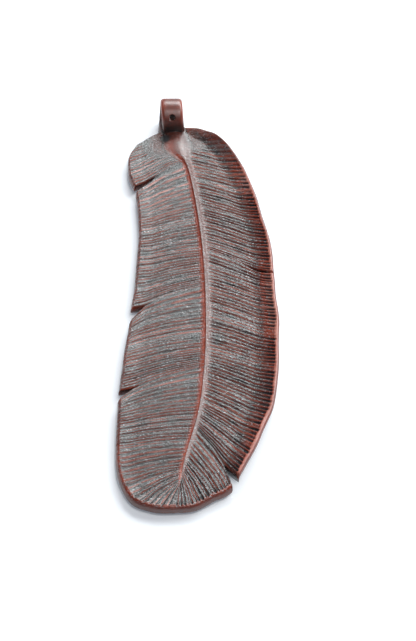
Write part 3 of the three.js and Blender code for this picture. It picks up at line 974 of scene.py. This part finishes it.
def join_with(target, tool, operation, overlaps=False):
    """Applies one exact Boolean to the target's mesh, which may overlap itself, and removes the tool."""
    modifier = target.modifiers.new(operation.lower(), "BOOLEAN")
    modifier.object, modifier.operation, modifier.solver = tool, operation, "EXACT"
    modifier.use_self = overlaps
    evaluated = target.evaluated_get(bpy.context.evaluated_depsgraph_get())
    joined = bpy.data.meshes.new_from_object(evaluated)
    target.modifiers.clear()
    target.data = joined
    bpy.data.objects.remove(tool)
    print(operation.lower(), target.name, "->", len(joined.vertices), "corners")


join_with(loop, cutter, "DIFFERENCE", overlaps=True)
loop.data.set_sharp_from_angle(angle=math.radians(40))
strap_skin = BVHTree.FromObject(loop, bpy.context.evaluated_depsgraph_get())
join_with(feather, loop, "UNION")

# %% [markdown]
# ## Glaze on the loop
# The Boolean leaves stray glaze values on the strap's corners, so they are set again. The glaze ran away
# from the strap's edges, so it is thin along both sides, and it is set thinner and redder at the top of the
# loop and darker towards its bottom.

# %% Set the loop's glaze values
STRAP_THIN = 0.25
UP_THE_LOOP_HEIGHTS = (8, 16)
LOW_THIN = 0.1
EDGE_WEAR = 0.2
EDGE_WEAR_RUN = (0.6, 0.95)
LOW_WEAR = 0.5
SAME_PLACE = 1e-6

strap_corners = [v for v in feather.data.vertices if strap_skin.find_nearest(v.co, SAME_PLACE)[0]]
for corner in strap_corners:
    x, y, z = corner.co / MM
    up_the_loop = smooth_step(z, *UP_THE_LOOP_HEIGHTS)
    degrees = math.degrees(math.atan2(z - LOOP_RADIUS, y - LOOP_CENTRE_Y))
    aside = abs(x - loop_point(0, degrees % 360).x) / (STRAP_WIDTH / 2)
    worn = EDGE_WEAR * smooth_step(aside, *EDGE_WEAR_RUN)
    thin = STRAP_THIN * mix(LOW_THIN, 1, up_the_loop) + worn * mix(LOW_WEAR, 1, up_the_loop)
    for name, value in zip(GLAZE_VALUES, (0, thin, 0, 1)):
        feather.data.attributes[name].data[corner.index].value = value
print("strap corners:", len(strap_corners))

# %% [markdown]
# ## The glaze
# An iron glaze is nearly black where it lies thick, in the grooves, and breaks to red-brown where it runs
# off an edge and lies thin. Two corner values steer that: `groove` darkens, and also carries painted shade,
# partly pooled glaze, in the hollow by the loop's foot and inside the narrow right splits; `thin` reddens,
# and noise breaks the red up so that no line is even. Small pale specks, partly crystals in the glaze and
# partly painted glints, and fine bumps give the vanes their sparkle, and `smooth` calms both where the clay
# was wiped. The foot that stood on the kiln shelf is bare clay.


# %% Mix the glaze
def glaze_material():
    material = bpy.data.materials.new("iron_glaze")
    material.use_nodes = True
    nodes, links = material.node_tree.nodes, material.node_tree.links
    shader = nodes["Principled BSDF"]

    def node(kind, **values):
        made_node = nodes.new(kind)
        for key, value in values.items():
            setattr(made_node, key, value)
        return made_node

    def attribute(name):
        return node("ShaderNodeAttribute", attribute_name=name).outputs["Fac"]

    def math_node(operation, first, second, clamp=False):
        made_node = node("ShaderNodeMath", operation=operation, use_clamp=clamp)
        for socket, value in zip(made_node.inputs, (first, second)):
            if isinstance(value, (int, float)):
                socket.default_value = value
            else:
                links.new(value, socket)
        return made_node.outputs[0]

    def mixed(factor, first, second):
        made_node = node("ShaderNodeMix", data_type="RGBA")
        links.new(factor, made_node.inputs["Factor"])
        for socket, value in zip((made_node.inputs[6], made_node.inputs[7]), (first, second)):
            if isinstance(value, tuple):
                socket.default_value = (*value, 1)
            else:
                links.new(value, socket)
        return made_node.outputs[2]

    place = node("ShaderNodeTexCoord").outputs["Object"]

    def noise_at(scale, detail, roughness=0.55, stretch=(1, 1, 1)):
        made_node = node("ShaderNodeTexNoise")
        mapping = node("ShaderNodeMapping")
        mapping.inputs["Scale"].default_value = stretch
        links.new(place, mapping.inputs["Vector"])
        links.new(mapping.outputs["Vector"], made_node.inputs["Vector"])
        made_node.inputs["Scale"].default_value = scale
        made_node.inputs["Detail"].default_value = detail
        made_node.inputs["Roughness"].default_value = roughness
        return made_node.outputs["Fac"]

    bare_clay = (0.33, 0.17, 0.10)
    black_glaze_and_painted_shade = (0.008, 0.006, 0.006)
    # Pale specks: partly crystals in the glaze, partly painted glints.
    crystals_and_painted_glints = (0.32, 0.32, 0.33)
    thick, breaking_red, thinnest = (0.018, 0.025, 0.024), (0.34, 0.045, 0.012), (0.5, 0.19, 0.14)
    grain = 1400

    cloud = noise_at(60, 4)
    speck = noise_at(900, 3)
    thin = math_node("MULTIPLY", attribute("thin"), math_node("ADD", 0.5, cloud), clamp=True)
    thin = math_node("MULTIPLY", thin, math_node("ADD", 0.4, math_node("MULTIPLY", noise_at(280, 3), 1.2)))
    thin = math_node("ADD", thin, math_node("MULTIPLY", math_node("SUBTRACT", speck, 0.5), 0.18), clamp=True)
    breaking = node("ShaderNodeValToRGB")
    links.new(thin, breaking.inputs["Fac"])
    stops = breaking.color_ramp.elements
    stops.new(0.5)
    for stop, colour in zip(stops, (thick, breaking_red, thinnest)):
        stop.color = (*colour, 1)
    rough_hand = math_node("SUBTRACT", 1, attribute("smooth"))
    # Painted glints: where the fine noise peaks, pale specks are mixed into the colour.
    painted_glint = math_node("SUBTRACT", noise_at(grain, 1, 0.5, (0.45, 1, 1)), 0.6)
    painted_glint = math_node("MULTIPLY", painted_glint, 6, clamp=True)
    painted_glint = math_node("MULTIPLY", painted_glint, rough_hand)
    with_painted_glints = mixed(painted_glint, breaking.outputs["Color"], crystals_and_painted_glints)
    # Black where the glaze lies thick, and painted shade in the loop's hollow and inside the narrow right
    # splits.
    glaze = mixed(attribute("groove"), with_painted_glints, black_glaze_and_painted_shade)
    links.new(mixed(attribute("foot"), glaze, bare_clay), shader.inputs["Base Color"])

    gloss = math_node("ADD", 0.12, math_node("MULTIPLY", noise_at(240, 3), 0.2))
    dull = math_node("MULTIPLY", attribute("foot"), 0.4)
    bare_rim = math_node("SUBTRACT", attribute("thin"), 0.6, clamp=True)
    dull = math_node("ADD", dull, bare_rim)
    dull = math_node("ADD", dull, math_node("MULTIPLY", math_node("MAXIMUM", attribute("smooth"), 0), 0.15))
    links.new(math_node("ADD", gloss, dull), shader.inputs["Roughness"])
    shader.inputs["IOR"].default_value = 1.75

    bump = node("ShaderNodeBump")
    bump.inputs["Strength"].default_value = 1.0
    bump.inputs["Distance"].default_value = 0.00033
    links.new(math_node("MULTIPLY", noise_at(grain, 2, 0.6), rough_hand), bump.inputs["Height"])
    links.new(bump.outputs["Normal"], shader.inputs["Normal"])
    return material


feather.data.materials.clear()
feather.data.materials.append(glaze_material())
feather.data.shade_smooth()
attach(feather, "root")
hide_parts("feather")
print("glaze on", feather.name)

# %% [markdown]
# ## Floor, light and camera
# The holder lies on a wide white table near a large bright window, behind it and to the right. The window's
# reflection is the grey sheen on the flat vanes. Only a faint glow comes from the left, so the wall that
# faces it shows the glaze's own red-brown. A small lamp behind makes the bumpy glaze sparkle, a small one in
# front lights the crests of the grooves, and a soft fill from the front opens the shadows.


# %% Set the stage
TABLE_SIZE = 6.0


def white_floor():
    table = bmesh.new()
    bmesh.ops.create_grid(table, x_segments=1, y_segments=1, size=TABLE_SIZE / 2)
    floor = finished_object(table, "floor")
    paint = bpy.data.materials.new("white_table")
    paint.use_nodes = True
    shader = paint.node_tree.nodes["Principled BSDF"]
    shader.inputs["Base Color"].default_value = (0.94, 0.94, 0.95, 1)
    shader.inputs["Roughness"].default_value = 0.9
    shader.inputs["Emission Color"].default_value = (0.75, 0.85, 1, 1)
    shader.inputs["Emission Strength"].default_value = 0.13
    floor.data.materials.append(paint)


def soft_light(name, place, width, height, watts, colour=(1, 1, 1)):
    light = bpy.data.lights.new(name, "AREA")
    light.shape, light.size, light.size_y = "RECTANGLE", width, height
    light.energy, light.color = watts, colour
    lamp = bpy.data.objects.new(name, light)
    lamp.location = place
    lamp.rotation_euler = (-Vector(place)).to_track_quat("-Z", "Y").to_euler()
    bpy.context.scene.collection.objects.link(lamp)


white_floor()
soft_light("window", (0.9, 1.25, 1.36), 2.66, 1.2, 62, (0.92, 0.98, 0.99))
soft_light("left_glow", (-0.9, 1.25, 1.36), 0.9, 1.2, 3.5, (0.94, 0.97, 1.0))
soft_light("back_lamp", (0.1, 1.3, 1.3), 0.4, 0.4, 4)
soft_light("front_lamp", (0.35, -0.55, 1.9), 0.35, 0.35, 7)
soft_light("front_fill", (0.3, -1.0, 2.0), 2.0, 1.6, 14)
room = bpy.data.worlds.new("room")
room.use_nodes = True
room.node_tree.nodes["Background"].inputs["Color"].default_value = (0.6, 0.76, 1.0, 1)
room.node_tree.nodes["Background"].inputs["Strength"].default_value = 0.1
scene = bpy.context.scene
scene.world = room
scene.view_settings.view_transform = "Standard"

# %% Point the camera as the photograph does
CAMERA_ELEVATION = 47
CAMERA_DISTANCE = 614
CAMERA_FIELD = 27
CAMERA_TARGET = Vector((4.6, -24.25, 5))
lens = bpy.data.cameras.new("camera")
lens.sensor_fit = "AUTO"
lens.sensor_width = 36
lens.lens = lens.sensor_width / 2 / math.tan(math.radians(CAMERA_FIELD / 2))
tilt = math.radians(CAMERA_ELEVATION)
back = Vector((0, -math.cos(tilt), math.sin(tilt)))
camera = bpy.data.objects.new("camera", lens)
camera.location = (CAMERA_TARGET + back * CAMERA_DISTANCE) * MM
camera.rotation_euler = (math.pi / 2 - tilt, 0, 0)
scene.collection.objects.link(camera)
scene.camera = camera
print("camera at", [round(c, 3) for c in camera.location])
